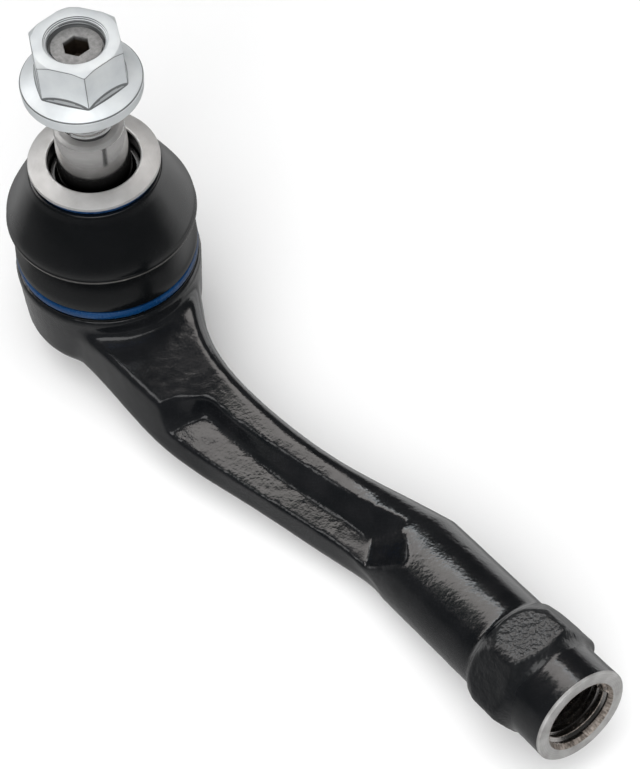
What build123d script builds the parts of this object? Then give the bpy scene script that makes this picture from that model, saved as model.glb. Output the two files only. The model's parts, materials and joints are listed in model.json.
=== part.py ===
from build123d import *
import os
from math import atan2, cos, radians, sin, tan

# Outer tie rod end. The origin is the centre of the ball. +Z runs up the stud towards the nut.
# +X runs, in plan, along the threaded shank towards the tie rod.

# ---------------------------------------------------------------- driving dimensions, mm
# ball joint
BALL_R = 11.0
BALL_PLAY = 0.15           # between the ball and its bearings
MOUTH_TILT = 26.0          # degrees, the tilt that the mouth of the housing leaves room for

# stud
NECK_R = 6.3
TAPER_BASE_Z = 31.0
TAPER_TOP_Z = 51.3
TAPER_TOP_R = 7.6
TAPER = 1 / 10             # on diameter
THREAD_R = 6.0             # M12
STUD_END_Z = 75.3
KEY_ACROSS = 5.0           # hexagon socket in the stud's end
KEY_DEPTH = 5.0

# flange nut
NUT_BASE_Z = 62.5
NUT_TOP_Z = 77.0
NUT_ACROSS = 18.0
FLANGE_R = 13.0
NUT_BORE_R = THREAD_R + 0.05
NUT_MOUTH_R = 6.8
NUT_PHASE = 36.5           # degrees, where the nut's corners stand at rest

# eye of the housing
EYE_R = 21.3
EYE_FOOT_R = 20.4          # the wall draws in towards the bottom
EYE_TOP_Z = 8.6
EYE_BOTTOM_Z = -10.8
SPIGOT_R = 18.0            # collar that the boot is clamped on
SPIGOT_TOP_Z = 13.2
BEARING_BORE_R = 12.5
PLATE_BORE_R = 13.7
PLATE_Z = -14.7            # underside of the closing plate
PLATE_THICK = 1.5
BOSS_R = 15.0
BOSS_BOTTOM_Z = -15.6
SHOULDER_Z = 7.4

# shank with the rod's thread
REACH = 152.0              # ball centre to the end face, in plan
OFFSET = 12.3              # shank's axis beside the ball centre
RISE = 10.0                # degrees, the shank's axis rises towards its end
SHANK_R = 11.3
SHANK_LENGTH = 53.0
ROD_BORE_R = 7.2           # minor radius of M16 x 1.5
ROD_BORE_DEPTH = 38.0
END_CHAMFER_R = 8.5
HEX_ACROSS = 24.5
HEX_MIDDLE = 15.0          # behind the end face
HEX_CORNER_R = 13.7        # the forged corners are blunt

# boot and its rings
COLLAR_TOP_Z = 41.2
COLLAR_IN_R = 10.1
COLLAR_OUT_R = 14.5


# ---------------------------------------------------------------- helpers
ABOVE = (Align.CENTER, Align.CENTER, Align.MIN)
BELOW = (Align.CENTER, Align.CENTER, Align.MAX)


def turned(*points):
    """Solid of revolution about Z through (radius, height) points."""
    outline = Polyline(*[(r, 0, z) for r, z in points], close=True)
    return revolve(make_face(outline), Axis.Z)


def save(shape, node):
    export_step(shape, f"parts/{node}.step")


def hex_prism(across, height, phase=0):
    """Hexagon bar from z = 0, with a corner at the angle phase from its X axis."""
    return extrude(RegularPolygon(across / 2, 6, major_radius=False, rotation=phase), height)


def on_shank(distance):
    """Plane square to the shank, at a distance from its end face, facing outward."""
    back = distance
    origin = (REACH - back * cos(radians(RISE)), OFFSET, -back * sin(radians(RISE)))
    return Plane(origin=origin, x_dir=(0, 1, 0), z_dir=(cos(radians(RISE)), 0, sin(radians(RISE))))


# ---------------------------------------------------------------- housing
def mouth_radius(z):
    """Radius that the tilted neck needs at height z."""
    tilt = radians(MOUTH_TILT)
    return z * tan(tilt) + NECK_R / cos(tilt) + 0.4


def eye():
    outside = turned(
        (0, BOSS_BOTTOM_Z), (BOSS_R - 1.2, BOSS_BOTTOM_Z), (BOSS_R, BOSS_BOTTOM_Z + 1.2),
        (BOSS_R, EYE_BOTTOM_Z), (EYE_FOOT_R, EYE_BOTTOM_Z), (EYE_R, EYE_TOP_Z - 1), (EYE_R - 0.4, EYE_TOP_Z),
        (SPIGOT_R, EYE_TOP_Z), (SPIGOT_R, SPIGOT_TOP_Z), (0, SPIGOT_TOP_Z),
    )
    circles = outside.edges().filter_by(GeomType.CIRCLE)
    return fillet(circles.filter_by(lambda e: abs(e.radius - EYE_FOOT_R) < 0.01), 4.0)


def eye_cavity():
    lip_r = PLATE_BORE_R - 1.6
    plate_floor = PLATE_Z - 0.05
    plate_top = PLATE_Z + PLATE_THICK
    over_top = SPIGOT_TOP_Z + 1
    return turned(
        (0, BOSS_BOTTOM_Z - 1), (lip_r, BOSS_BOTTOM_Z - 1), (lip_r, plate_floor), (PLATE_BORE_R, plate_floor),
        (PLATE_BORE_R, plate_top), (BEARING_BORE_R, plate_top), (BEARING_BORE_R, SHOULDER_Z),
        (mouth_radius(SHOULDER_Z), SHOULDER_Z), (mouth_radius(over_top), over_top), (0, over_top),
    )


# Arm sections from the eye to the shank: x, then near side y, far side y and height of the bottom
# and of the top, then the corner radii near bottom, far bottom, far top, near top.
ARM_SECTIONS = [
    (10, (-17.6, 16.0, -9.0), (-17.4, 15.5, 5.0), (2.5, 2.5, 3.0, 1.2)),
    (22, (-16.6, 11.3, -10.4), (-15.6, 10.0, 4.0), (3.0, 3.5, 3.5, 1.2)),
    (34, (-16.6, 7.8, -12.0), (-13.6, 6.4, 2.2), (3.5, 4.0, 4.0, 1.2)),
    (46, (-15.0, 8.0, -12.9), (-11.4, 6.8, 0.5), (3.5, 4.0, 4.0, 1.2)),
    (60, (-9.9, 10.4, -14.0), (-8.4, 9.2, -0.5), (3.5, 4.5, 4.5, 1.5)),
    (75, (-4.8, 14.6, -15.6), (-3.9, 13.6, -1.2), (4.0, 5.0, 5.0, 2.5)),
    (88, (-0.9, 19.6, -18.2), (0.0, 18.9, -0.3), (6.5, 7.0, 7.0, 6.0)),
]


def rounded_section(plane, bottom, top, radii):
    """Four-sided section with its own radius at each corner, always eight edges in the same order."""
    corners = [Vector(bottom[0], bottom[2]), Vector(bottom[1], bottom[2]),
               Vector(top[1], top[2]), Vector(top[0], top[2])]
    arcs = []
    for i, (corner, radius) in enumerate(zip(corners, radii)):
        to_last = (corners[i - 1] - corner).normalized()
        to_next = (corners[(i + 1) % 4] - corner).normalized()
        half_angle = radians(to_last.get_angle(to_next)) / 2
        middle = corner + (to_last + to_next).normalized() * (radius / sin(half_angle) - radius)
        reach = radius / tan(half_angle)
        arcs.append(ThreePointArc(corner + to_last * reach, middle, corner + to_next * reach))
    edges = []
    for i, arc in enumerate(arcs):
        edges += [arc, Line(arc @ 1, arcs[(i + 1) % 4] @ 0)]
    return plane * make_face(edges)


def arm():
    sections = []
    for x, bottom, top, radii in ARM_SECTIONS:
        plane = Plane(origin=(x, 0, 0), x_dir=(0, 1, 0), z_dir=(1, 0, 0))
        sections.append(rounded_section(plane, bottom, top, radii))
    r = SHANK_R
    plane = on_shank(SHANK_LENGTH)
    sections.append(rounded_section(plane, (-r, r, -r), (-r, r, r), (r - 0.2,) * 4))
    return loft(sections) + extrude(sections[-1], SHANK_LENGTH - HEX_MIDDLE, dir=plane.z_dir)


def threaded_end():
    """Round end with the forged hexagon, from inside the hexagon to the end face."""
    bar = on_shank(HEX_MIDDLE + 1) * extrude(Circle(SHANK_R), HEX_MIDDLE + 1)
    bar = chamfer(bar.edges().filter_by(GeomType.CIRCLE).sort_by(Axis.X)[-1], 0.3)
    hexagon = on_shank(24) * hex_prism(HEX_ACROSS, 16)
    ends = [(7.8, 11.0), (10.2, 11.9), (11.4, HEX_CORNER_R), (18.0, HEX_CORNER_R), (21.6, 12.4), (22.6, 11.0)]
    outline = Polyline(*[(r, 0, -s) for s, r in ends], (0, 0, -ends[-1][0]), (0, 0, -ends[0][0]), close=True)
    barrel = on_shank(0) * revolve(make_face(outline), Axis.Z)
    return bar + (hexagon & barrel)


# Recess in the arm's top, open on the near side. Its floor dips from the eye's end to the shank's
# end. Both outlines run from outside the near side, round the far side and out again: x, y and the
# radius that rounds the corner.
FLOOR_START = (43.0, -4.4)
FLOOR_END = (89.5, -6.3)
RIM_HEIGHT = 8.0
FLOOR_OUTLINE = [
    (41.6, -22, 0), (42.3, -8, 10), (42.9, -3.6, 1.5), (50, -2.7, 0), (60.5, -1.2, 0),
    (72, 1.5, 0), (84, 5.2, 0), (90, 6.6, 4.6), (94.8, 1.5, 4.6), (101, -14, 0),
]
RIM_OUTLINE = [
    (34, -22, 0), (37, -9, 10), (42, -2.2, 5), (49.5, -0.8, 0), (62, 3.9, 0),
    (74, 8.3, 0), (86, 11.5, 0), (97, 13, 5.2), (102, 7.6, 5.2), (112, -14, 0),
]


def rounded_outline(outline):
    """Face inside an outline of (x, y, corner radius) points, moved to the start of the recess's floor."""
    corners = [(Vector(x - FLOOR_START[0], y), radius) for x, y, radius in outline]
    face = make_face(Polyline(*[corner for corner, _ in corners], close=True))
    for corner, radius in corners:
        if radius:
            nearest = face.vertices().sort_by_distance(corner)[0]
            face = fillet(nearest, radius)
    return face


def recess():
    """Lofted from the floor up to the rim, so each wall leans outward by its own amount."""
    dip = atan2(FLOOR_END[1] - FLOOR_START[1], FLOOR_END[0] - FLOOR_START[0])
    floor = Plane(origin=(FLOOR_START[0], 0, FLOOR_START[1]), x_dir=(cos(dip), 0, sin(dip)),
                  z_dir=(-sin(dip), 0, cos(dip)))
    rim = Pos(0, 0, RIM_HEIGHT) * rounded_outline(RIM_OUTLINE)
    return loft([floor * rounded_outline(FLOOR_OUTLINE), floor * rim], ruled=True)


def housing():
    body = eye() + arm() + threaded_end()
    body -= recess()
    body -= eye_cavity()
    body -= on_shank(ROD_BORE_DEPTH) * extrude(Circle(ROD_BORE_R), ROD_BORE_DEPTH + 1)
    mouth = Cone(ROD_BORE_R, END_CHAMFER_R, END_CHAMFER_R - ROD_BORE_R, align=BELOW)
    return body - on_shank(0) * mouth


# ---------------------------------------------------------------- ball joint
def ball_stud():
    taper_base_r = TAPER_TOP_R + (TAPER_TOP_Z - TAPER_BASE_Z) * TAPER / 2
    ball_z = (BALL_R**2 - NECK_R**2) ** 0.5
    shaft = turned(
        (0, ball_z - 4), (NECK_R, ball_z - 4), (NECK_R, TAPER_BASE_Z - 2.5), (taper_base_r, TAPER_BASE_Z),
        (TAPER_TOP_R, TAPER_TOP_Z), (TAPER_TOP_R - 1, TAPER_TOP_Z + 0.9), (THREAD_R, TAPER_TOP_Z + 0.9),
        (THREAD_R, STUD_END_Z - 0.6), (THREAD_R - 0.6, STUD_END_Z), (0, STUD_END_Z),
    )
    key = Pos(0, 0, STUD_END_Z - KEY_DEPTH) * hex_prism(KEY_ACROSS, KEY_DEPTH + 1, NUT_PHASE)
    dimple = Pos(0, 0, STUD_END_Z - KEY_DEPTH) * Cone(0.2, 2.3, 1.2, align=BELOW)
    flat = Pos(0, 0, -BALL_R) * Box(12, 12, 0.6)
    return Sphere(BALL_R) + shaft - key - dimple - flat


def bearing_ring(top, bottom, bore_r):
    """Plastic bearing around the ball, between two heights, open by bore_r along Z."""
    body = Pos(0, 0, (top + bottom) / 2) * Cylinder(BEARING_BORE_R - 0.05, top - bottom)
    body -= Sphere(BALL_R + BALL_PLAY)
    return body - Cylinder(bore_r, 60)


def bearing_shell():
    shell = bearing_ring(SHOULDER_Z - 0.05, -0.4, 4)
    flare = turned((0, 3), (mouth_radius(3), 3), (mouth_radius(9), 9), (0, 9))
    return shell - flare


def pressure_cup():
    return bearing_ring(-0.8, -12.1, 3.5)


def disc_spring():
    return turned((5.0, -12.15), (6.0, -12.15), (12.3, -12.45), (12.3, -13.15), (11.3, -13.15), (5.0, -12.85))


def closing_plate():
    top = PLATE_Z + PLATE_THICK - 0.05
    return turned((0, top), (PLATE_BORE_R - 0.05, top), (PLATE_BORE_R - 0.05, PLATE_Z), (0, PLATE_Z))


# ---------------------------------------------------------------- boot and rings
def dust_boot():
    outside = Spline(
        (20.7, 0, 12.9), (20.6, 0, 14.6), (19.5, 0, 18.0), (18.3, 0, 20.2), (19.6, 0, 21.7),
        (21.2, 0, 23.5), (20.7, 0, 26.4), (18.2, 0, 31.4), (15.2, 0, 36.6),
    )
    inside = Spline(
        (13.4, 0, 36.2), (16.6, 0, 30.6), (19.0, 0, 26.0), (19.2, 0, 24.2), (17.6, 0, 22.0),
        (16.7, 0, 20.2), (17.9, 0, 17.2), (18.9, 0, 14.4), (18.2, 0, 13.4),
    )
    lip = Polyline((15.2, 0, 36.6), (14.6, 0, 38.1), (13.1, 0, 38.1), (13.1, 0, 39.65), (11.5, 0, 39.65),
                   (11.5, 0, 33.9), (10.0, 0, 33.9), (10.0, 0, 37.0), (8.7, 0, 37.0), (8.7, 0, 34.6),
                   (9.6, 0, 32.6), (11.2, 0, 32.4), (13.4, 0, 36.2))
    clamp = Polyline((18.2, 0, 13.4), (18.05, 0, 13.1), (18.05, 0, 8.8), (20.7, 0, 8.8), (20.7, 0, 9.15),
                     (19.7, 0, 9.3), (19.7, 0, 12.05), (20.7, 0, 12.3), (20.7, 0, 12.9))
    return revolve(make_face([outside, lip, inside, clamp]), Axis.Z)


def lower_boot_ring():
    return turned((19.75, 9.35), (20.9, 9.35), (20.9, 12.0), (19.75, 12.0))


def upper_boot_ring():
    return turned((13.15, 38.15), (14.3, 38.15), (14.3, 39.6), (13.15, 39.6))


def collar_ring():
    """Flat ring over the boot's mouth with a sleeve that runs down inside it."""
    sleeve_r = 11.45
    underside = COLLAR_TOP_Z - 1.5
    return turned(
        (COLLAR_IN_R, underside - 5.7), (sleeve_r, underside - 5.7), (sleeve_r, underside),
        (COLLAR_OUT_R, underside), (COLLAR_OUT_R, COLLAR_TOP_Z - 0.7), (COLLAR_IN_R + 0.5, COLLAR_TOP_Z),
        (COLLAR_IN_R, COLLAR_TOP_Z - 0.5),
    )


# ---------------------------------------------------------------- nut
def flange_nut():
    flange = turned(
        (0, NUT_BASE_Z), (12.2, NUT_BASE_Z), (12.8, NUT_BASE_Z + 0.5), (FLANGE_R, NUT_BASE_Z + 3.2),
        (FLANGE_R - 0.3, NUT_BASE_Z + 3.5), (8.6, NUT_BASE_Z + 5.2), (0, NUT_BASE_Z + 5.2),
    )
    hexagon = Pos(0, 0, NUT_BASE_Z + 2) * hex_prism(NUT_ACROSS, NUT_TOP_Z - NUT_BASE_Z - 2, NUT_PHASE)
    dome = turned((0, NUT_BASE_Z), (12, NUT_BASE_Z), (12, NUT_TOP_Z - 1.9), (9.2, NUT_TOP_Z), (0, NUT_TOP_Z))
    nut = flange + (hexagon & dome)
    nut -= Pos(0, 0, NUT_BASE_Z - 1) * Cylinder(NUT_BORE_R, 20, align=ABOVE)
    nut -= Pos(0, 0, NUT_TOP_Z) * Cone(NUT_BORE_R, NUT_MOUTH_R, NUT_MOUTH_R - NUT_BORE_R, align=BELOW)
    return nut - Pos(0, 0, NUT_BASE_Z) * Cone(NUT_MOUTH_R, NUT_BORE_R, NUT_MOUTH_R - NUT_BORE_R, align=ABOVE)


PIECES = [
    housing, ball_stud, bearing_shell, pressure_cup, disc_spring, closing_plate,
    dust_boot, lower_boot_ring, upper_boot_ring, collar_ring, flange_nut,
]

os.makedirs("parts", exist_ok=True)
for piece in PIECES:
    save(piece(), piece.__name__)
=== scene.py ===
import json
from math import atan2, cos, degrees, pi, radians, sin, sqrt, tan

import bmesh
import bpy
import numpy as np
from mathutils import Matrix, Vector, noise


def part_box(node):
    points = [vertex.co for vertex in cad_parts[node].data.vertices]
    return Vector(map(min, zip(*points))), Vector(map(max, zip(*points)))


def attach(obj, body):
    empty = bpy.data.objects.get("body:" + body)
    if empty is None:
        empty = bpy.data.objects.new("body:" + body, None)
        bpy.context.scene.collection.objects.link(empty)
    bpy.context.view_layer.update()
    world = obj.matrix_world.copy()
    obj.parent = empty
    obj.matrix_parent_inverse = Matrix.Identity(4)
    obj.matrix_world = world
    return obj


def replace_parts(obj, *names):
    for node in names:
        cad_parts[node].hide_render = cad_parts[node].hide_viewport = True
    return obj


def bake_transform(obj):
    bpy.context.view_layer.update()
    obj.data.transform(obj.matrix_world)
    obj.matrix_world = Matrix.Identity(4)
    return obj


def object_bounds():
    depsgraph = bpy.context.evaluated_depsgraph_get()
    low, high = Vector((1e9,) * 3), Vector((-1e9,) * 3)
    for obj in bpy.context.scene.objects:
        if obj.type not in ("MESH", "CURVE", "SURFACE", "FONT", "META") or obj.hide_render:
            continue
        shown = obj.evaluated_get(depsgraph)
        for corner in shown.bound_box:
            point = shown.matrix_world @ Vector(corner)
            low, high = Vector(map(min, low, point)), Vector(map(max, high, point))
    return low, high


# Looks of an outer tie rod end: a painted forging, a rubber boot with its bands, a bright stud and
# a flange nut. Shapes are worked out in millimetres, and made into meshes in metres by mesh_of().

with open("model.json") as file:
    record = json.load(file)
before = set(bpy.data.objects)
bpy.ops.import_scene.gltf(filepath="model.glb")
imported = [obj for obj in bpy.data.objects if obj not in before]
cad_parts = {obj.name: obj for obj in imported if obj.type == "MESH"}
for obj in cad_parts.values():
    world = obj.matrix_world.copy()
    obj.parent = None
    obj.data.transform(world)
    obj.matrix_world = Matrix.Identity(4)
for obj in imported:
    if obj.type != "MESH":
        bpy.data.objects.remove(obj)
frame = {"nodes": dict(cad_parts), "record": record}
cad_low, cad_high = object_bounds()

MM = 0.001


# ---------------------------------------------------------------- sizes, from the CAD model, mm
def heights(node):
    low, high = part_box(node)
    return low.z / MM, high.z / MM


def radius(node):
    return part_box(node)[1].x / MM


def mount(name):
    found = next(m for m in frame["record"]["mounts"] if m["name"] == name)
    return Vector(found["pos_m"]) / MM, Vector(found["axis"]), found["dims"]


NUT_BASE, NUT_TOP = heights("flange_nut")
FLANGE_R = radius("flange_nut")
NUT_ACROSS = 18.0
NUT_BORE_R = 6.05
NUT_CORNER = 36.5                  # degrees, a corner of the nut and of the stud's key at rest
STUD_END = heights("ball_stud")[1]
BALL_R = radius("ball_stud")
THREAD_R = mount("stud_thread")[2]["r_mm"]
NECK_R = 6.3
TAPER_BASE_Z, TAPER_TOP_Z = 31.0, 51.3
TAPER_BASE_R, TAPER_TOP_R = 8.615, 7.6
KEY_ACROSS = 5.0
KEY_DEPTH = 5.0
COLLAR_TOP = heights("collar_ring")[1]
COLLAR_OUT_R = radius("collar_ring")
COLLAR_IN_R = 10.1
BOOT_LOW, BOOT_HIGH = heights("dust_boot")
PLATE_LOW, PLATE_HIGH = heights("closing_plate")
PLATE_R = radius("closing_plate")
EYE_R = 21.3
NUT_MOUTH_R = 6.8
BOSS_R = 15.0
BOSS_LOW = -15.6
SHANK_R = 11.3
HEX_START, HEX_END = 9.0, 21.5     # the forged hexagon, behind the end face
ROD_BORE_R = mount("rod_thread")[2]["r_mm"]
ROD_BORE_DEPTH = 38.0
END_CHAMFER_R = 8.5
ROD_PITCH, ROD_THREAD_DEPTH = 1.5, 0.92
STUD_PITCH, STUD_THREAD_DEPTH = 1.25, 0.72
NUT_THREAD_DEPTH = 0.62


def shank_frame():
    """Matrix of the shank's end: origin on its axis in the end face, +Z outward, +X to the part's +Y."""
    middle, axis, _ = mount("rod_thread")
    face = mount("jam_nut_face")[0]
    centre = middle + axis * (face - middle).dot(axis)
    across = Vector((0, 1, 0))
    turn = Matrix((across, axis.cross(across), axis)).transposed()
    return Matrix.Translation(centre * MM) @ turn.to_4x4()


SHANK = shank_frame()


# ---------------------------------------------------------------- mesh helpers
def mesh_of(name, points, faces, matrix=None):
    """Object with smooth faces from points in mm. Its own matrix places it, in metres."""
    mesh = bpy.data.meshes.new(name)
    mesh.from_pydata([tuple(c * MM for c in p) for p in points], [], faces)
    mesh.update()
    piece = bpy.data.objects.new(name, mesh)
    bpy.context.scene.collection.objects.link(piece)
    if matrix is not None:
        piece.matrix_world = matrix
    return piece


def smooth(piece, angle=38):
    piece.data.shade_smooth()
    piece.data.set_sharp_from_angle(angle=radians(angle))


def finish_piece(piece, body, material, node):
    """Gives a piece its look and slot, and has it ride on a body in place of the CAD node."""
    piece.data.materials.append(material)
    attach(piece, body)
    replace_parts(piece, node)
    return piece


def paint_faces(piece, looks, pick):
    """Gives each face the look that pick(middle in mm, normal) names. The piece has looks[0] already."""
    for look in looks[1:]:
        piece.data.materials.append(look)
    for face in piece.data.polygons:
        face.material_index = looks.index(pick(face.center / MM, face.normal))


def rounded(points, bevel, steps=4, closed=True):
    """Outline with its corners turned into arcs. A point may carry its own bevel as a third number."""
    out = []
    count = len(points)
    for i, point in enumerate(points):
        here = Vector(point[:2])
        size = point[2] if len(point) > 2 else bevel
        if size == 0 or (not closed and i in (0, count - 1)):
            out.append(tuple(here))
            continue
        back = Vector(points[i - 1][:2]) - here
        on = Vector(points[(i + 1) % count][:2]) - here
        reach = min(size, back.length * 0.45, on.length * 0.45)
        start, end = here + back.normalized() * reach, here + on.normalized() * reach
        for k in range(steps + 1):
            t = k / steps
            out.append(tuple(start * (1 - t) ** 2 + here * 2 * t * (1 - t) + end * t * t))
    return out


def grid_faces(rows, columns, closed_rows):
    """Quads of a grid whose columns run all the way round."""
    faces = []
    for i in range(rows if closed_rows else rows - 1):
        for j in range(columns):
            a, b = i * columns + j, i * columns + (j + 1) % columns
            c, d = ((i + 1) % rows) * columns + (j + 1) % columns, ((i + 1) % rows) * columns + j
            faces.append((a, b, c, d))
    return faces


def even_angles(segments, start=0.0):
    return [start + 2 * pi * j / segments for j in range(segments)]


def plain_rings(segments, outline):
    """Rows of plain rings, one for each (radius, height) of an outline."""
    return [[point] * segments for point in outline]


def ringed(name, rows, angles, closed_rows, matrix=None):
    """Mesh of rings round Z. A row has one (radius, height) for each of the angles, in radians."""
    points = [(r * cos(angle), r * sin(angle), z) for row in rows for angle, (r, z) in zip(angles, row)]
    return mesh_of(name, points, grid_faces(len(rows), len(angles), closed_rows), matrix)


def turned(name, outline, segments=128, matrix=None):
    """Solid of revolution of a closed (radius, height) outline."""
    rows = plain_rings(segments, outline)
    return outward(ringed(name, rows, even_angles(segments), True, matrix))


def outward(piece, reach=1e-7):
    """Joins points within reach, in metres, of each other, and turns a closed mesh's faces outward."""
    bm = bmesh.new()
    bm.from_mesh(piece.data)
    bmesh.ops.remove_doubles(bm, verts=bm.verts, dist=reach)
    bmesh.ops.recalc_face_normals(bm, faces=bm.faces)
    bm.to_mesh(piece.data)
    bm.free()
    return piece


def from_flat(angle):
    """Degrees from an angle to the middle of the nearest flat of the nut or the key."""
    off = (angle - NUT_CORNER - 30) % 60
    return off - 60 if off > 30 else off


def hexagon_r(angle, across):
    """Radius of a hexagon at an angle in degrees."""
    return across / 2 / cos(radians(from_flat(angle)))


# ---------------------------------------------------------------- material helpers
class Graph:
    """Short way to write the nodes of a material or of the world."""

    def __init__(self, owner):
        owner.use_nodes = True
        self.tree = owner.node_tree

    def add(self, kind, **values):
        node = self.tree.nodes.new(kind)
        for key, value in values.items():
            if hasattr(node, key):
                setattr(node, key, value)
            else:
                node.inputs[key.replace("_", " ")].default_value = value
        return node

    def link(self, source, target):
        self.tree.links.new(source, target)

    def maths(self, operation, a, b):
        node = self.add("ShaderNodeMath", operation=operation)
        for source, socket in ((a, node.inputs[0]), (b, node.inputs[1])):
            if isinstance(source, (int, float)):
                socket.default_value = source
            else:
                self.link(source, socket)
        return node.outputs["Value"]

    def times(self, a, b):
        return self.maths("MULTIPLY", a, b)

    def most(self, a, b):
        return self.maths("MAXIMUM", a, b)

    def ramp(self, source, *stops):
        """Colour ramp of (position, grey or colour) stops."""
        node = self.add("ShaderNodeValToRGB")
        ends = node.color_ramp.elements
        while len(ends) < len(stops):
            ends.new(0.5)
        for element, (position, colour) in zip(ends, stops):
            element.position = position
            grey = (colour,) * 3 if isinstance(colour, (int, float)) else colour
            element.color = (*grey, 1)
        self.link(source, node.inputs["Fac"])
        return node.outputs["Color"]

    def span(self, source, low, high, to_low, to_high):
        node = self.add("ShaderNodeMapRange")
        for key, value in (("From Min", low), ("From Max", high), ("To Min", to_low), ("To Max", to_high)):
            node.inputs[key].default_value = value
        self.link(source, node.inputs["Value"])
        return node.outputs["Result"]

    def blend(self, kind, amount, a, b):
        node = self.add("ShaderNodeMix", data_type="RGBA", blend_type=kind)
        for source, socket in ((amount, node.inputs[0]), (a, node.inputs[6]), (b, node.inputs[7])):
            if isinstance(source, (int, float)):
                socket.default_value = source
            elif isinstance(source, tuple):
                socket.default_value = (*source, 1)
            else:
                self.link(source, socket)
        return node.outputs[2]


BAND_SCALE = 0.3142                # scale of the wave texture that gives one band per metre


class Nodes(Graph):
    """A new material and its nodes."""

    def __init__(self, name):
        self.material = bpy.data.materials.new(name)
        super().__init__(self.material)
        self.shader = self.tree.nodes["Principled BSDF"]
        self.place = self.add("ShaderNodeTexCoord").outputs["Object"]

    def set(self, **values):
        for key, value in values.items():
            self.shader.inputs[key.replace("_", " ")].default_value = value

    def noise(self, size, detail=3.0, roughness=0.55, stretch=None):
        """Noise with lumps of about that size in mm, from 0 to 1."""
        node = self.add("ShaderNodeTexNoise", Scale=1 / (size * MM), Detail=detail, Roughness=roughness)
        source = self.place
        if stretch:
            mapping = self.add("ShaderNodeMapping")
            mapping.inputs["Scale"].default_value = stretch
            self.link(source, mapping.inputs["Vector"])
            source = mapping.outputs["Vector"]
        self.link(source, node.inputs["Vector"])
        return node.outputs["Fac"]

    def along(self, origin, direction):
        """Distance in mm from a point, along a direction."""
        move = self.add("ShaderNodeVectorMath", operation="SUBTRACT")
        move.inputs[1].default_value = origin
        self.link(self.place, move.inputs[0])
        dot = self.add("ShaderNodeVectorMath", operation="DOT_PRODUCT")
        dot.inputs[1].default_value = direction / MM
        self.link(move.outputs["Vector"], dot.inputs[0])
        return dot.outputs["Value"]

    def height(self):
        """The object's own Z, in mm."""
        return self.along(Vector((0, 0, 0)), Vector((0, 0, 1)))

    def rings(self, pitch, about="Z", distortion=0.0):
        """Turning marks: bands by distance from an axis of the object, pitch in mm."""
        node = self.add("ShaderNodeTexWave", wave_type="RINGS", rings_direction=about, wave_profile="SIN")
        node.inputs["Scale"].default_value = BAND_SCALE / (pitch * MM)
        node.inputs["Distortion"].default_value = distortion
        node.inputs["Detail"].default_value = 1.0
        self.link(self.place, node.inputs["Vector"])
        return node.outputs["Fac"]

    def colour(self, source):
        self.link(source, self.shader.inputs["Base Color"])

    def rough(self, source):
        self.link(source, self.shader.inputs["Roughness"])

    def bumps(self, *layers, coat=False):
        """Bump layers of (source, depth in mm), one on the other."""
        last = None
        for source, depth in layers:
            node = self.add("ShaderNodeBump", Strength=1.0, Distance=depth * MM)
            self.link(source, node.inputs["Height"])
            if last:
                self.link(last, node.inputs["Normal"])
            last = node.outputs["Normal"]
        self.link(last, self.shader.inputs["Normal"])
        if coat:
            self.link(last, self.shader.inputs["Coat Normal"])


# ---------------------------------------------------------------- materials
HEXAGON_PEEL = 5.0                 # how much coarser the paint's peel is on the forged hexagon
HEXAGON_DULL = 0.2                 # roughness added there
CALMER = (104, 114)                # mm behind the end face, where the peel fades towards the eye


def black_paint():
    """Gloss black paint over a shot-blasted forging: fine peel in patches, coarser on the hexagon."""
    n = Nodes("black_paint")
    n.set(IOR=1.55, Coat_Weight=0.5, Coat_Roughness=0.07)
    wear = n.noise(9, detail=4)
    n.colour(n.ramp(wear, (0.35, (0.0035, 0.0042, 0.005)), (0.7, (0.009, 0.0095, 0.0105))))
    behind = n.along(SHANK.translation, SHANK.to_3x3() @ Vector((0, 0, -1)))
    on_hexagon = n.times(n.span(behind, HEX_START - 1, HEX_START + 1, 0, 1),
                         n.span(behind, HEX_END - 1, HEX_END + 1, 1, 0))
    gloss = n.span(n.noise(4, detail=3), 0.3, 0.7, 0.14, 0.22)
    n.rough(n.maths("ADD", gloss, n.times(on_hexagon, HEXAGON_DULL)))
    patches = n.span(n.noise(10, detail=2), 0.42, 0.62, 0.7, 1.9)
    patches = n.times(patches, n.span(behind, *CALMER, 1.0, 0.35))
    fine = n.noise(0.85, detail=1.5, roughness=0.5)
    peel = n.times(fine, n.most(patches, n.times(on_hexagon, HEXAGON_PEEL)))
    n.bumps((peel, 0.03), (n.noise(0.4, detail=1.0), 0.014), coat=True)
    return n.material


def satin_black():
    """Pressed sheet with a thin satin black coat."""
    n = Nodes("satin_black")
    n.set(IOR=1.5)
    n.colour(n.ramp(n.noise(6), (0.3, (0.012, 0.012, 0.013)), (0.75, (0.03, 0.03, 0.031))))
    n.rough(n.span(n.noise(2.5), 0.3, 0.7, 0.34, 0.48))
    n.bumps((n.noise(0.9), 0.03), (n.rings(0.6, distortion=1.0), 0.004))
    return n.material


def rubber(name, dark, light):
    """Moulded rubber: fine smooth skin, faint bloom and mould marks."""
    n = Nodes(name)
    n.set(IOR=1.65)
    n.colour(n.ramp(n.noise(14, detail=4), (0.3, dark), (0.75, light)))
    n.rough(n.span(n.noise(7), 0.3, 0.7, 0.2, 0.28))
    n.bumps((n.noise(3.0), 0.03), (n.noise(0.3), 0.004))
    return n.material


def blue_band():
    """Blue passivated band with fine drawn lines along it."""
    n = Nodes("blue_band")
    n.set(Metallic=0.1, IOR=1.5, Coat_Weight=0.3, Coat_Roughness=0.12)
    n.colour(n.ramp(n.noise(9.0, detail=1.0), (0.3, (0.0015, 0.026, 0.085)), (0.75, (0.003, 0.038, 0.118))))
    n.rough(n.span(n.noise(4.0), 0.3, 0.7, 0.24, 0.32))
    n.bumps((n.noise(0.5, stretch=(1, 1, 8)), 0.0005))
    return n.material


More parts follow.
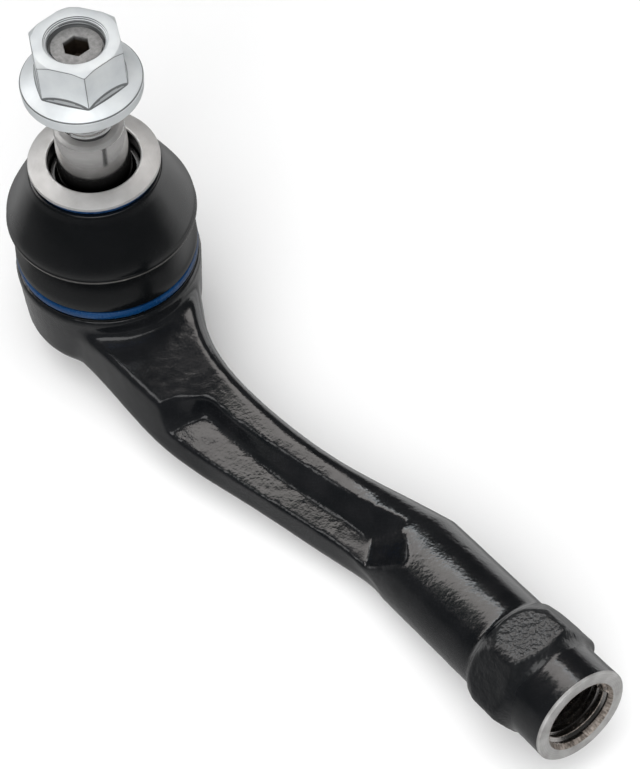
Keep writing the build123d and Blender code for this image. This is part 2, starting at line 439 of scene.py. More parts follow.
def bright_zinc(name="bright_zinc", light=0.71, metal=0.5):
    """Zinc plate: a bright, faintly blue skin with a soft milky bloom and light handling marks."""
    n = Nodes(name)
    n.set(Metallic=metal, IOR=1.5)
    dull = (light * 0.86, light * 0.9, light * 0.93)
    clean = (light * 1.02, light * 1.06, light * 1.07)
    n.colour(n.ramp(n.noise(6.0, detail=4), (0.3, dull), (0.7, clean)))
    n.rough(n.span(n.noise(2.5, detail=3), 0.3, 0.75, 0.36, 0.48))
    n.bumps((n.noise(1.6, detail=3), 0.006), (n.noise(0.3), 0.001))
    return n.material


def ground_steel():
    """Turned and ground steel of the stud: marks round the axis, and painted shade that darkens the taper
    towards its foot.
    """
    n = Nodes("ground_steel")
    n.set(Metallic=0.95)
    tone = n.ramp(n.noise(3.0, stretch=(1, 1, 6)), (0.3, (0.86, 0.845, 0.83)), (0.7, (0.95, 0.94, 0.93)))
    # painted shade: near black low on the taper, full tone near its top
    low = n.ramp(n.span(n.height(), 38.0, 51.0, 0, 1), (0.09, 0.01), (0.3, 0.14), (0.58, 0.6), (0.85, 1.0))
    n.colour(n.blend("MULTIPLY", 1.0, tone, low))
    n.rough(n.span(n.noise(1.5, stretch=(1, 1, 8)), 0.3, 0.7, 0.1, 0.16))
    n.bumps((n.noise(0.5, stretch=(0.4, 0.4, 9)), 0.0008))
    return n.material


def forged_end():
    """Dull grey, slightly mottled steel of the stud's end and its key, with painted shade down in the key.
    """
    n = Nodes("forged_end")
    n.set(Metallic=0.7)
    tone = n.ramp(n.noise(0.9, detail=4), (0.3, (0.23, 0.23, 0.23)), (0.7, (0.37, 0.368, 0.365)))
    # painted shade: darker and browner down into the key
    depth = n.span(n.height(), STUD_END - 1.2, STUD_END - 0.1, 0, 1)
    key_shade = n.ramp(depth, (0.0, (0.16, 0.12, 0.09)), (1.0, 1.0))
    n.colour(n.blend("MULTIPLY", 1.0, tone, key_shade))
    n.rough(n.span(n.noise(1.0), 0.3, 0.7, 0.45, 0.6))
    n.bumps((n.noise(0.4, detail=3), 0.01))
    return n.material


def turned_steel(name, light, dark, pitch, roughness, metal=1.0):
    """Matt steel with concentric tool marks."""
    n = Nodes(name)
    n.set(Metallic=metal)
    marks = n.rings(pitch, distortion=0.6)
    tone = n.ramp(n.noise(4.0, detail=4), (0.3, dark), (0.7, light))
    n.colour(n.blend("MULTIPLY", 0.5, tone, n.ramp(marks, (0.0, 0.8), (1.0, 1.0))))
    n.rough(n.span(n.noise(1.2), 0.3, 0.7, roughness - 0.06, roughness + 0.06))
    n.bumps((marks, 0.006), (n.noise(0.35), 0.004))
    return n.material


def bore_steel():
    """Brownish cut steel of the bore's mouth, with marks that run along the bore."""
    n = Nodes("bore_steel")
    n.set(Metallic=0.5)
    marks = n.noise(0.5, stretch=(1, 1, 0.15))
    n.colour(n.ramp(marks, (0.35, (0.12, 0.1, 0.085)), (0.65, (0.42, 0.37, 0.33))))
    n.rough(n.span(n.noise(1.2), 0.3, 0.7, 0.32, 0.45))
    n.bumps((n.noise(0.4, stretch=(1, 1, 0.2)), 0.01))
    return n.material


def bearing_plastic():
    """Pale moulded acetal with a thin film of grease."""
    n = Nodes("bearing_plastic")
    n.set(IOR=1.48, Coat_Weight=0.3, Coat_Roughness=0.15)
    n.colour(n.ramp(n.noise(5.0), (0.3, (0.78, 0.76, 0.7)), (0.7, (0.88, 0.865, 0.82))))
    n.rough(n.span(n.noise(2.0), 0.3, 0.7, 0.3, 0.45))
    n.bumps((n.noise(1.0), 0.01))
    return n.material


PAINT = black_paint()
SATIN = satin_black()
RUBBER = rubber("rubber", (0.0013, 0.0018, 0.0022), (0.0035, 0.004, 0.0045))
# painted highlight: paler rubber for the bright line along the boot's lip
LIP_HIGHLIGHT_RUBBER = rubber("worn_rubber", (0.03, 0.029, 0.027), (0.09, 0.087, 0.082))
BLUE = blue_band()
ZINC = bright_zinc()
STUD_STEEL = ground_steel()
END_GREY = forged_end()
# painted shade: dark zinc for the nut's creases, edge lines and bore
ZINC_SHADE = bright_zinc("zinc_in_creases", 0.26, 0.75)
# painted shade: darker zinc for the nut's top face
ZINC_TOP_SHADE = bright_zinc("zinc_on_top", 0.61)
# painted shade: darker zinc in the hollows at the flats' feet
ZINC_FOOT_SHADE = bright_zinc("zinc_at_feet", 0.55, 0.6)
# painted light: lighter zinc for the flange's upper face
ZINC_FLANGE_LIT = bright_zinc("zinc_on_flange", 0.8)
COLLAR_STEEL = turned_steel("collar_steel", (0.7, 0.693, 0.685), (0.58, 0.572, 0.563), 0.3, 0.46, 0.75)
END_STEEL = turned_steel("machined_end", (0.46, 0.455, 0.45), (0.27, 0.265, 0.257), 0.45, 0.42, 0.35)
BORE_STEEL = bore_steel()
THREAD_STEEL = turned_steel("thread_steel", (0.85, 0.82, 0.79), (0.6, 0.58, 0.56), 0.3, 0.24)
SPRING_STEEL = turned_steel("spring_steel", (0.32, 0.31, 0.3), (0.22, 0.215, 0.21), 0.3, 0.4)
PLASTIC = bearing_plastic()


# ---------------------------------------------------------------- housing
VOXEL = 0.5                        # mm, size of the forging's mesh
ROUNDING = 5                       # passes that round the forged edges
BLENDING = 40                      # more passes where the arm runs into the eye
SKIN_DEPTH = 0.035                 # mm, the forged skin's lumps
SKIN_SIZES = (1.8, 7.0, 12.0)      # mm, its lumps, its waves and its patches
HEXAGON_LUMPS = 1.1                # how much stronger the lumps are on the hexagon
CAVITY_R, CAVITY_LOW = 18.6, -13.0  # mm, the machined inside of the eye
EYE_BEHIND = 60.0                  # mm behind the end face, where only the arm and the eye are
END_CUT = 0.6                      # mm behind the end face, where the machined end takes over
BORE_CLEARANCE_R = 8.9             # the forging is cut clear of the thread's roots
RECESS_END = (100.0, 9.0)          # mm, far corner of the recess, where its rim runs out softly


def cylinder(radius_mm, low, high, matrix):
    """Plain closed cylinder used only as a cutter, from low to high along the matrix's Z."""
    outline = [(0, low), (radius_mm, low), (radius_mm, high), (0, high)]
    return turned("cutter", outline, 96, matrix)


def apply_modifiers(piece):
    graph = bpy.context.evaluated_depsgraph_get()
    mesh = bpy.data.meshes.new_from_object(piece.evaluated_get(graph))
    old = piece.data
    piece.modifiers.clear()
    piece.data = mesh
    bpy.data.meshes.remove(old)


def boolean(piece, cutter, operation):
    modifier = piece.modifiers.new("cut", "BOOLEAN")
    modifier.operation = operation
    modifier.object = cutter
    modifier.solver = "EXACT"
    apply_modifiers(piece)
    bpy.data.objects.remove(cutter)


def shank_distance(points):
    """Distance behind the end face and from the shank's axis, in mm, of points in metres."""
    local = (points - np.array(SHANK.translation)) @ np.array(SHANK.to_3x3())
    return -local[:, 2] / MM, np.hypot(local[:, 0], local[:, 1]) / MM


def vertex_arrays(mesh):
    """Places and normals of a mesh's vertices, as rows."""
    points = np.empty(len(mesh.vertices) * 3)
    normals = np.empty(len(mesh.vertices) * 3)
    mesh.vertices.foreach_get("co", points)
    mesh.vertices.foreach_get("normal", normals)
    return points.reshape(-1, 3), normals.reshape(-1, 3)


def forged_skin(piece):
    """Small lumps of the forged skin, as geometry: more on the hexagon, none at machined surfaces."""
    mesh = piece.data
    points, normals = vertex_arrays(mesh)
    lumps, waves, patches = (np.array([noise.noise(Vector(p) / (size * MM)) for p in points])
                             for size in SKIN_SIZES)
    behind, _ = shank_distance(points)
    on_hexagon = np.clip(behind - HEX_START, 0, 1) * np.clip(HEX_END - behind, 0, 1)
    strength = np.clip(0.5 + patches * 1.5, 0.25, 1.0) + on_hexagon * HEXAGON_LUMPS
    plan = np.hypot(points[:, 0], points[:, 1]) / MM
    inside_eye = (plan < CAVITY_R) & (points[:, 2] / MM > CAVITY_LOW) & (behind > EYE_BEHIND)
    fade = np.clip((behind - 0.8) / 2, 0, 1) * ~inside_eye
    depth = (lumps * strength + waves - 1.0) * SKIN_DEPTH * fade * MM
    mesh.vertices.foreach_set("co", (points + normals * depth[:, None]).ravel())
    mesh.update()


def junction_weights(piece):
    """Vertex group of the places that are smoothed more, fading out round them: where the arm's top and
    sides run into the round eye and, at half that at most, the recess's far corner."""
    points = vertex_arrays(piece.data)[0] / MM
    plan = np.hypot(points[:, 0], points[:, 1])
    near_wall = np.clip(1.6 - np.abs(plan - EYE_R - 0.5) / 2.5, 0, 1)
    low_enough = np.clip((6.8 - points[:, 2]) / 1.5, 0, 1)
    on_arm_side = np.clip((points[:, 0] - 6) / 4, 0, 1)
    from_end = np.hypot(points[:, 0] - RECESS_END[0], points[:, 1] - RECESS_END[1])
    at_recess_end = np.clip(1.4 - from_end / 9, 0, 1) * np.clip((points[:, 2] + 4) / 3, 0, 0.5)
    group = piece.vertex_groups.new(name="junction")
    for i, weight in enumerate(np.maximum(near_wall * low_enough * on_arm_side, at_recess_end)):
        if weight > 0:
            group.add([i], float(weight), "REPLACE")


def close_end(piece):
    """Cuts the forging square just behind its end face and closes the ring that is left."""
    bm = bmesh.new()
    bm.from_mesh(piece.data)
    point = SHANK @ Vector((0, 0, -END_CUT * MM))
    direction = SHANK.to_3x3() @ Vector((0, 0, 1))
    everything = bm.verts[:] + bm.edges[:] + bm.faces[:]
    bmesh.ops.bisect_plane(bm, geom=everything, plane_co=point, plane_no=direction, clear_outer=True)
    loops = [e for e in bm.edges if e.is_boundary]
    bmesh.ops.bridge_loops(bm, edges=loops)
    bmesh.ops.recalc_face_normals(bm, faces=bm.faces)
    bm.to_mesh(piece.data)
    bm.free()


def housing_forging():
    source = frame["nodes"]["housing"]
    piece = bpy.data.objects.new("housing_forging", source.data.copy())
    piece.data.materials.clear()
    bpy.context.scene.collection.objects.link(piece)
    # The end is lengthened, so that its edge stays square under the smoothing, and close_end cuts it.
    boolean(piece, cylinder(SHANK_R, -4.0, 5.0, SHANK), "UNION")
    boolean(piece, cylinder(BORE_CLEARANCE_R, -ROD_BORE_DEPTH, 6.0, SHANK), "DIFFERENCE")
    remesh = piece.modifiers.new("remesh", "REMESH")
    remesh.mode = "VOXEL"
    remesh.voxel_size = VOXEL * MM
    rounding = piece.modifiers.new("rounding", "SMOOTH")
    rounding.factor = 0.5
    rounding.iterations = ROUNDING
    apply_modifiers(piece)
    junction_weights(piece)
    blending = piece.modifiers.new("blending", "SMOOTH")
    blending.factor = 0.5
    blending.iterations = BLENDING
    blending.vertex_group = "junction"
    apply_modifiers(piece)
    forged_skin(piece)
    close_end(piece)
    smooth(piece, 60)
    return finish_piece(piece, "housing_body", PAINT, "housing")


MOUTH_SLOPE = 0.42                 # the bore's mouth narrows by this much for each mm in
DRILL_END = -ROD_BORE_DEPTH + 2    # height of the thread's last turn
DRILL_RUNOUT = 1.5                 # mm of plain bore past it
DRILL_DISH = ROD_BORE_R * tan(radians(30)) * 0.1    # mm, how hollow the drilled end is


def thread_wave(phase, crest=0.1, root=0.25):
    """Height of a thread's flank at a phase of its pitch: 0 at the root, 1 at the crest."""
    t = phase % 1.0
    flank = (1 - crest - root) / 2
    if t < root:
        return 0.0
    if t < root + flank:
        return (t - root) / flank
    if t < root + flank + crest:
        return 1.0
    return 1 - (t - root - flank - crest) / flank


def thread_rows(low, high, pitch, root_r, crest_r, segments, stops=(0.0, 0.25, 0.575, 0.675)):
    """Rings that follow a helix from low to high: lists of (radius, height), one for each segment."""
    rows = []
    turns = int((high - low) / pitch) + 2
    for k in range(-1, turns):
        for stop in stops:
            wave = thread_wave(stop)
            row = []
            for j in range(segments):
                z = low + (k + stop + j / segments) * pitch
                row.append((root_r + (crest_r - root_r) * wave, min(max(z, low), high)))
            rows.append(row)
    return rows


def threaded_rod_bore():
    """Machined end of the shank: turned face, conical mouth and the rod's thread, to a drilled end."""
    segments = 96
    root_r = ROD_BORE_R + ROD_THREAD_DEPTH
    rows = plain_rings(segments, [
        (SHANK_R - 0.02, -END_CUT - 0.5), (SHANK_R - 0.02, -0.32), (SHANK_R - 0.32, 0.0),
        (END_CHAMFER_R + 0.05, 0.0), (END_CHAMFER_R, -0.03),
    ])
    thread = thread_rows(DRILL_END, 0, ROD_PITCH, root_r, ROD_BORE_R, segments)
    for row in reversed(thread):
        rows.append([(max(r, END_CHAMFER_R + min(z, 0) * MOUTH_SLOPE - 0.03), z) for r, z in row])
    rows += plain_rings(segments, [
        (ROD_BORE_R, DRILL_END), (ROD_BORE_R, DRILL_END - DRILL_RUNOUT),
        (0, DRILL_END - DRILL_RUNOUT - DRILL_DISH),
    ])
    piece = outward(ringed("threaded_rod_bore", rows, even_angles(segments), False, SHANK), 1e-6)
    smooth(piece, 32)
    finish_piece(piece, "housing_body", END_STEEL, "housing")

    def look(place, _):
        r = place.xy.length
        if r >= END_CHAMFER_R:
            return END_STEEL
        on_mouth = abs(r - END_CHAMFER_R - place.z * MOUTH_SLOPE) < 0.1
        return BORE_STEEL if on_mouth else THREAD_STEEL

    paint_faces(piece, [END_STEEL, BORE_STEEL, THREAD_STEEL], look)
    return piece


def boss_rim():
    """Machined rim under the eye, rolled in over the closing plate."""
    outline = rounded([
        (BOSS_R + 0.02, -11.4), (BOSS_R + 0.02, BOSS_LOW, 0.9), (PLATE_R - 1.55, BOSS_LOW, 0.35),
        (PLATE_R - 1.62, PLATE_LOW - 0.04, 0.2), (PLATE_R + 0.1, PLATE_LOW - 0.04, 0),
        (PLATE_R + 0.1, -11.4),
    ], 0.3)
    piece = turned("boss_rim", outline)
    smooth(piece)
    return finish_piece(piece, "housing_body", SATIN, "housing")


def closing_plate():
    """Pressed plate with a shallow dish and a flat rim."""
    outline = rounded([
        (0, PLATE_LOW + 0.75, 0), (7.4, PLATE_LOW + 0.75, 0.8), (8.6, PLATE_LOW + 0.02, 0.8),
        (PLATE_R, PLATE_LOW, 0.2), (PLATE_R, PLATE_HIGH, 0.2), (0, PLATE_HIGH, 0),
    ], 0.2)
    piece = turned("closing_plate_pressing", outline)
    smooth(piece)
    return finish_piece(piece, "housing_body", SATIN, "closing_plate")


# ---------------------------------------------------------------- ball stud
def stud_ring_rows(segments):
    """Rows of the stud from the ball's flat up to the start of the thread."""
    flat_z = -BALL_R + 0.3
    start = np.arcsin(flat_z / BALL_R)
    neck_z = sqrt(BALL_R ** 2 - NECK_R ** 2)
    end = np.arcsin(neck_z / BALL_R)
    outline = [(0, flat_z)]
    for k in range(41):
        angle = start + (end - start) * k / 40
        outline.append((BALL_R * cos(angle), BALL_R * sin(angle)))
    outline += rounded([
        outline[-1], (NECK_R, neck_z + 0.4, 0.4), (NECK_R, TAPER_BASE_Z - 2.5, 1.2),
        (TAPER_BASE_R, TAPER_BASE_Z, 0.6), (TAPER_TOP_R, TAPER_TOP_Z, 0.25),
        (TAPER_TOP_R - 1.0, TAPER_TOP_Z + 0.3, 0.1),
        (THREAD_R - 0.85, TAPER_TOP_Z + 0.32, 0.05), (THREAD_R - 0.85, TAPER_TOP_Z + 1.5, 0),
    ], 0.3, closed=False)
    return plain_rings(segments, outline)


def ball_stud():
    segments = 96
    thread_low = TAPER_TOP_Z + 1.6
    rows = stud_ring_rows(segments)
    root_r = THREAD_R - STUD_THREAD_DEPTH
    rows += thread_rows(thread_low, STUD_END - 0.5, STUD_PITCH, root_r, THREAD_R - 0.02, segments)
    rows += plain_rings(segments, [(THREAD_R - 0.6, STUD_END - 0.08), (THREAD_R - 0.75, STUD_END)])
    key_floor = STUD_END - KEY_DEPTH
    for grow, z in ((0.25, STUD_END), (0.0, STUD_END - 0.2), (0.0, key_floor)):
        row = []
        for j in range(segments):
            angle = NUT_CORNER + 360 * j / segments
            row.append((hexagon_r(angle, KEY_ACROSS + grow), z))
        rows.append(row)
    rows += plain_rings(segments, [(2.3, key_floor - 0.02), (0, key_floor - 1.2)])
    piece = outward(ringed("stud_turning", rows, even_angles(segments, radians(NUT_CORNER)), False))
    smooth(piece, 32)
    finish_piece(piece, "stud_body", STUD_STEEL, "ball_stud")

    def look(place, _):
        if place.xy.length < THREAD_R - 0.65 and place.z > key_floor - 2:
            return END_GREY
        # painted shade: satin black in the undercut below the thread
        if TAPER_TOP_Z + 0.4 < place.z < TAPER_TOP_Z + 1.1:
            return SATIN
        return COLLAR_STEEL if TAPER_TOP_Z - 0.1 < place.z < TAPER_TOP_Z + 0.4 else STUD_STEEL

    paint_faces(piece, [STUD_STEEL, END_GREY, COLLAR_STEEL, SATIN], look)
    return piece


# ---------------------------------------------------------------- nut
# The nut's mouth: how far in from its rim and down from its top, with three steep-sided grooves.
MOUTH = [(0.0, 0.0), (0.08, 0.05), (0.1, 0.3), (0.3, 0.36), (0.33, 0.62), (0.55, 0.68), (0.6, 0.95)]
GROOVES = (0.17, 0.49, 0.81)       # mm below the top, the middles of the steep sides
FLANGE_TOP = NUT_BASE + 4.6        # above the flange's cone
HOLLOW_STEPS, FLAT_STEPS = 8, 5    # along the hollow at a flat's foot, and along the flat above it


def nut_side(angle):
    """One upright line of the nut's side at an angle, from the flange up to the top face. The foot
    flares out in a hollow that is tallest at the middle of each flat, and the corners are chamfered
    at the top."""
    bulge = 1 - (from_flat(angle) / 30) ** 2
    flat_r = min(hexagon_r(angle, NUT_ACROSS), NUT_ACROSS / sqrt(3) - 0.1)
    flare = 0.12 + 0.5 * bulge
    foot_z = NUT_BASE + 3.5 + (FLANGE_R - 0.3 - flat_r - flare) * 0.415
    arc_z = foot_z + 0.25 + 1.25 * sqrt(bulge)
    line = []
    for k in range(HOLLOW_STEPS + 1):
        t = k / HOLLOW_STEPS
        line.append((flat_r + flare * (1 - t) ** 1.5, foot_z + (arc_z - foot_z) * t))
    top_r = min(9.2, flat_r - 0.12)
    shoulder_z = NUT_TOP - max((flat_r - top_r) * 0.68, 0.08)
    for k in range(1, FLAT_STEPS + 1):
        line.append((flat_r, arc_z + (shoulder_z - 0.2 - arc_z) * k / FLAT_STEPS))
    line += [(flat_r - 0.02, shoulder_z), (top_r + 0.03, NUT_TOP - 0.02), (top_r - 0.06, NUT_TOP)]
    return line


def in_painted_shade(place):
    """Whether a place on the nut gets painted shade, zinc coloured dark for the shade there: the bore,
    the grooves in its mouth, the thin lines round the top and the flange, and the feet and corners
    of the flats."""
    r, z = place.xy.length, place.z
    if r < NUT_MOUTH_R:
        steep = any(abs(z - (NUT_TOP - down)) < 0.1 for down in GROOVES)
        in_root = r > NUT_BORE_R + 0.3 and z < NUT_TOP - MOUTH[-1][1]
        return steep or in_root or NUT_BASE + 0.5 < z < NUT_TOP - 2.2
    angle = degrees(atan2(place.y, place.x))
    side = nut_side(angle)
    foot, arc, shoulder = side[0], side[HOLLOW_STEPS], side[HOLLOW_STEPS + FLAT_STEPS + 1]
    if shoulder[1] - 0.19 < z < shoulder[1] + 0.02:
        return True
    if arc[1] - 0.6 < z < arc[1] + 0.02 and r < foot[0] + 0.02:
        return True
    if foot[0] - 0.25 < r < foot[0] + 0.02 and NUT_BASE + 3.6 < z < foot[1] + 0.3:
        return True
    off = (angle - NUT_CORNER) % 60
    if min(off, 60 - off) < 0.4 and foot[1] < z < shoulder[1] and r > 9.5:
        return True
    return r > FLANGE_R - 0.35 and NUT_BASE + 3.25 < z < NUT_BASE + 3.62


def at_foot(place):
    """Whether a place on the nut is in the hollow at the foot of a flat."""
    side = nut_side(degrees(atan2(place.y, place.x)))
    foot, arc = side[0], side[HOLLOW_STEPS]
    return foot[1] - 0.02 < place.z < arc[1] and foot[0] - 1.0 < place.xy.length < foot[0] + 0.02


def zinc_at(place, normal):
    """Tone of the zinc at a place on the nut, with painted shade and painted light by place."""
    if in_painted_shade(place):
        return ZINC_SHADE
    if place.z > NUT_TOP - 1.0 and normal.z > 0.5:
        return ZINC_TOP_SHADE
    if at_foot(place):
        return ZINC_FOOT_SHADE
    if place.z < FLANGE_TOP and place.xy.length > NUT_ACROSS / 2 + 0.5 and normal.z > 0.1:
        return ZINC_FLANGE_LIT
    return ZINC


def flange_nut():
    """One-piece flange nut with a conical flange and its thread inside."""
    steps = [0, 0.5, *range(2, 59, 2), 59.5]
    angles = [NUT_CORNER + 60 * side + step for side in range(6) for step in steps]
    segments = len(angles)
    rim = rounded([
        (NUT_BORE_R + 0.75, NUT_BASE, 0.1), (12.2, NUT_BASE, 0.4), (12.8, NUT_BASE + 0.5, 0.3),
        (FLANGE_R, NUT_BASE + 3.2, 0.3), (FLANGE_R - 0.3, NUT_BASE + 3.5, 0.25),
        (10.9, NUT_BASE + 4.25, 0),
    ], 0.3, closed=False)
    rows = plain_rings(segments, rim)
    rows += zip(*[nut_side(angle) for angle in angles])
    rows += plain_rings(segments, [(NUT_MOUTH_R - inward, NUT_TOP - down) for inward, down in MOUTH])
    root_r = NUT_BORE_R + NUT_THREAD_DEPTH
    thread = thread_rows(NUT_BASE + 0.75, NUT_TOP - 0.75, STUD_PITCH, root_r, NUT_BORE_R, segments)
    rows += reversed(thread)
    piece = outward(ringed("flange_nut_plated", rows, [radians(angle) for angle in angles], True))
    smooth(piece, 28)
    finish_piece(piece, "nut_body", ZINC, "flange_nut")
    # the zinc gets its painted shade and painted light face by face
    paint_faces(piece, [ZINC, ZINC_SHADE, ZINC_TOP_SHADE, ZINC_FOOT_SHADE, ZINC_FLANGE_LIT], zinc_at)
    return piece


# ---------------------------------------------------------------- boot, bands and collar
def spline(points, steps=8):
    """Smooth line through points, each stretch cut into steps."""
    out = []
    for i in range(len(points) - 1):
        a = Vector(points[max(i - 1, 0)])
        b, c = Vector(points[i]), Vector(points[i + 1])
        d = Vector(points[min(i + 2, len(points) - 1)])
        for k in range(steps):
            t = k / steps
            out.append(tuple(0.5 * (2 * b + (c - a) * t + (2 * a - 5 * b + 4 * c - d) * t ** 2
                                    + (3 * b - a - 3 * c + d) * t ** 3)))
    out.append(tuple(points[-1]))
    return out


def boot_lower():
    """From the clamped foot up to the fold."""
    ring_low, ring_high = heights("lower_boot_ring")
    outside = spline([(20.68, 12.95), (20.55, 14.6), (19.5, 17.9), (18.35, 20.1), (18.0, 20.3)])
    inside = spline([(16.9, 20.3), (16.9, 19.6), (17.9, 17.2), (18.9, 14.4), (18.25, 13.2)])
    foot = rounded([
        (18.1, 13.0, 0), (18.1, BOOT_LOW, 0.2), (20.65, BOOT_LOW, 0.15), (20.65, ring_low - 0.2, 0.1),
        (19.72, ring_low - 0.05, 0.1), (19.72, ring_high + 0.05, 0.1),
        (20.65, ring_high + 0.3, 0.2), (20.68, 12.9, 0),
    ], 0.2, closed=False)
    piece = turned("boot_lower", outside + inside + foot[:-1])
    smooth(piece, 50)
    piece.data.materials.append(RUBBER)
    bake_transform(piece)
    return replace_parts(piece, "dust_boot")


LIP_R, LIP_LOW, LIP_HIGH = 21.05, 23.2, 23.7    # the boot's lip, where its rubber is painted pale as a highlight


def boot_upper():
    """From the fold, over the bulge and its fine moulded lip, to the mouth under the collar."""
    under = spline([(17.2, 20.0), (18.3, 20.35), (19.7, 21.5), (20.95, 22.75), (21.1, 23.1)])
    lip = [(21.24, 23.3), (21.28, 23.55), (21.24, 23.8), (21.12, 24.0)]
    dome = spline([(21.05, 24.2), (20.75, 26.3), (18.2, 31.4), (15.3, 36.5)])
    mouth = rounded([
        (15.3, 36.5, 0), (14.7, 38.05, 0.5), (13.12, 38.1, 0.2), (13.12, BOOT_HIGH, 0.2),
        (11.5, BOOT_HIGH, 0.2), (11.5, 33.9, 0.2), (10.0, 33.9, 0.2), (10.0, 37.0, 0.3),
        (8.7, 37.0, 0.4), (8.7, 34.6, 0.5),
        (9.6, 32.6, 0.5), (11.2, 32.4, 0.5), (13.4, 36.2, 0),
    ], 0.3, closed=False)
    inside = spline([(13.4, 36.2), (16.6, 30.6), (19.0, 26.0), (19.2, 24.2), (17.9, 22.4), (16.9, 21.2)])
    piece = turned("boot_upper", under + lip + dome + mouth[1:-1] + inside)
    smooth(piece, 50)
    piece.data.materials.append(RUBBER)
    # painted highlight: the lip's faces get the paler rubber
    paint_faces(piece, [RUBBER, LIP_HIGHLIGHT_RUBBER],
                lambda at, _: LIP_HIGHLIGHT_RUBBER if at.xy.length > LIP_R and LIP_LOW < at.z < LIP_HIGH else RUBBER)
    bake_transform(piece)
    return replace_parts(piece, "dust_boot")


def band(node, body, inset=0.0, trim=(0.0, 0.0)):
    """Closed spring band with a softly domed outside, set in from the CAD ring's outside, and trimmed
    at its low and high edges."""
    low, high = heights(node)
    low, high = low + trim[0], high - trim[1]
    outer = radius(node) - inset
    inner = outer - 1.15
    middle = (low + high) / 2
    outline = rounded([
        (inner, low), (outer - 0.22, low, 0.4), (outer, middle, 1.0), (outer - 0.22, high, 0.4),
        (inner, high),
    ], 0.15, steps=6)
    piece = turned(node + "_band", outline, 160)
    smooth(piece, 60)
    return finish_piece(piece, body, BLUE, node)


def collar():
    """Turned collar in the boot's mouth, its top face slightly conical."""
    low = heights("collar_ring")[0]
    underside = COLLAR_TOP - 1.5
    outline = rounded([
        (COLLAR_IN_R, low), (11.45, low), (11.45, underside, 0), (COLLAR_OUT_R, underside, 0.12),
        (COLLAR_OUT_R, COLLAR_TOP - 0.75, 0.2), (COLLAR_IN_R + 0.3, COLLAR_TOP, 0.2),
        (COLLAR_IN_R, COLLAR_TOP - 0.3, 0.15),
    ], 0.2)
    piece = turned("collar_turning", outline, 160)
    smooth(piece, 30)
    finish_piece(piece, "collar_body", COLLAR_STEEL, "collar_ring")

    def look(place, _):
        # painted shade: the bore is given black rubber to stand for the shade in it
        inside = place.xy.length < COLLAR_IN_R + 0.1 and place.z < COLLAR_TOP - 0.4
        return RUBBER if inside else COLLAR_STEEL

    paint_faces(piece, [COLLAR_STEEL, RUBBER], look)
    return piece


def hidden_parts():
    """The CAD pieces inside the eye keep their shape and get their materials."""
    looks = {"bearing_shell": PLASTIC, "pressure_cup": PLASTIC, "disc_spring": SPRING_STEEL}
    for node, material in looks.items():
        mesh = frame["nodes"][node].data
        mesh.materials.clear()
        mesh.materials.append(material)


# ---------------------------------------------------------------- studio
AIM = Vector((54.6, 19.4, 0.0)) * MM
AZIMUTH, ELEVATION, ROLL = radians(54.8), radians(55.0), radians(-1.9)
DISTANCE = 490.5 * MM
LENS = 103.0
FLOOR_Z = cad_low.z - 0.4 * MM


def camera():
    back = Vector((sin(AZIMUTH) * cos(ELEVATION), -cos(AZIMUTH) * cos(ELEVATION), sin(ELEVATION)))
    data = bpy.data.cameras.new("camera")
    data.lens = LENS
    data.sensor_width = 36.0
    data.clip_start, data.clip_end = 0.01, 20.0
    viewer = bpy.data.objects.new("camera", data)
    bpy.context.scene.collection.objects.link(viewer)
    viewer.location = AIM + back * DISTANCE
    turn = (-back).to_track_quat("-Z", "Y").to_matrix() @ Matrix.Rotation(ROLL, 3, "Z")
    viewer.rotation_euler = turn.to_euler()
    bpy.context.scene.camera = viewer


def floor():
    bm = bmesh.new()
    bmesh.ops.create_grid(bm, x_segments=2, y_segments=2, size=6.0)
    mesh = bpy.data.meshes.new("floor")
    bm.to_mesh(mesh)
    bm.free()
    ground = bpy.data.objects.new("floor", mesh)
    ground.location = (0, 0, FLOOR_Z)
    bpy.context.scene.collection.objects.link(ground)
    n = Nodes("pale_floor")
    n.set(Roughness=0.9, Specular_IOR_Level=0.1)
    n.colour(n.ramp(n.noise(300), (0.3, (0.88, 0.88, 0.88)), (0.7, (0.9, 0.9, 0.9))))
    mesh.materials.append(n.material)
    ground.visible_glossy = False


def softbox(name, at, target, size, power, tint=(1, 1, 1), shine=True):
    """Area light at a point, facing a target, sizes in metres."""
    data = bpy.data.lights.new(name, "AREA")
    data.shape = "RECTANGLE"
    data.size, data.size_y = size
    data.energy = power
    data.color = tint
    lamp = bpy.data.objects.new(name, data)
    lamp.location = at
    lamp.rotation_euler = (Vector(target) - Vector(at)).to_track_quat("-Z", "Y").to_euler()
    lamp.visible_glossy = shine
    bpy.context.scene.collection.objects.link(lamp)
    return lamp


STRIP_ALONG = Vector((-0.54, -0.84, 0))    # to the left in the picture
STRIP_ACROSS = Vector((0.84, -0.54, 0))    # towards the camera
STRIP_FOOT = Vector((0.06, 0.01, 0))       # metres, where the strips' plan is measured from


def strip_light(height, along_range, across_range, power, tint):
    """Long strip light that hangs level over the far side. Its plan is given in units of its height."""
    u, w = sum(along_range) / 2, sum(across_range) / 2
    lamp = softbox("strip", (0, 0, 1), (0, 0, 0), (1, 1), power, tint)
    lamp.data.size = (along_range[1] - along_range[0]) * height
    lamp.data.size_y = (across_range[1] - across_range[0]) * height
    up = Vector((0, 0, 1))
    lamp.location = (STRIP_ALONG * u + STRIP_ACROSS * w + up) * height + STRIP_FOOT
    lamp.rotation_euler = Matrix((STRIP_ALONG, up.cross(STRIP_ALONG), up)).transposed().to_euler()
    lamp.visible_diffuse = False
    return lamp


BRIGHT_SIDE = Vector((-0.7, 0.7, 0))    # the tent is lit below on this side
SIDE_EDGE = (-0.1, 0.35)                # where that side fades in
DIM_SKY = ((0.2, 0.27), (0.45, 0.14), (0.5, 0.06), (0.54, 0.04))    # (height from 0 to 1, grey)
LIT_SKY = ((0.2, 0.27), (0.28, 0.8), (0.46, 1.0), (0.57, 0.04))
BACKDROP = 0.93                         # grey that the camera sees behind everything


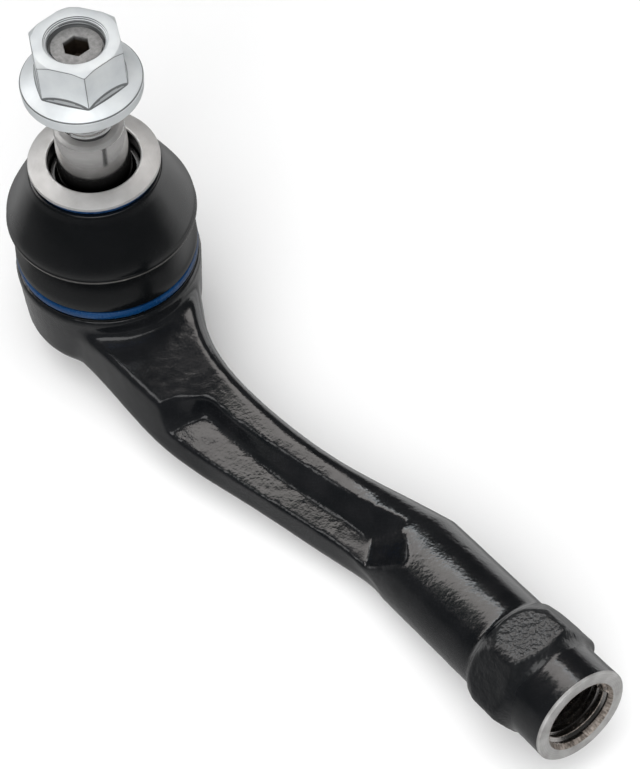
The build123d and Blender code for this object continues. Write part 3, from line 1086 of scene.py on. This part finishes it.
def studio():
    """Dark above and softly lit below in reflections, as in a tent, with a pale ground all round."""
    world = bpy.data.worlds.new("studio")
    sky = Graph(world)
    direction = sky.add("ShaderNodeTexCoord").outputs["Generated"]
    split = sky.add("ShaderNodeSeparateXYZ")
    sky.link(direction, split.inputs["Vector"])
    height = sky.span(split.outputs["Z"], -1, 1, 0, 1)
    facing = sky.add("ShaderNodeVectorMath", operation="DOT_PRODUCT")
    facing.inputs[1].default_value = BRIGHT_SIDE
    sky.link(direction, facing.inputs[0])
    side = sky.span(facing.outputs["Value"], *SIDE_EDGE, 0, 1)
    tent = sky.blend("MIX", side, sky.ramp(height, *DIM_SKY), sky.ramp(height, *LIT_SKY))
    seen = sky.add("ShaderNodeLightPath").outputs["Is Camera Ray"]
    backdrop = sky.blend("MIX", seen, tent, (BACKDROP,) * 3)
    sky.link(backdrop, sky.tree.nodes["Background"].inputs["Color"])
    bpy.context.scene.world = world


def lights():
    """Two strips that draw the highlights on the paint, a side light, and soft light from above and
    from the front."""
    strip_light(0.8, (-0.5, 2.4), (-0.93, -0.485), 6.2, (1.0, 0.955, 0.925))
    strip_light(0.79, (-0.1, 1.6), (-0.98, -0.87), 1.25, (0.85, 0.94, 1.0))
    softbox("side", (0.15, 1.1, 0.24), (0.05, 0, 0.02), (0.9, 0.46), 1.5)
    softbox("overhead", (0.08, -0.12, 0.8), (0, 0, 0), (0.4, 0.5), 0.9)
    softbox("fill", (0.3, -0.3, 1.6), (0.05, 0, 0), (2.4, 2.4), 40, shine=False)
    softbox("front", (1.0, -0.75, 0.55), (0.05, 0, 0.03), (1.2, 0.8), 14, shine=False)


def main():
    camera()
    floor()
    housing_forging()
    threaded_rod_bore()
    boss_rim()
    closing_plate()
    ball_stud()
    flange_nut()
    boot_lower()
    boot_upper()
    band("lower_boot_ring", "housing_body", trim=(0.3, 0.25))
    band("upper_boot_ring", "collar_body", inset=0.28)
    collar()
    hidden_parts()
    studio()
    lights()
    bpy.context.scene.view_settings.view_transform = "Standard"


main()
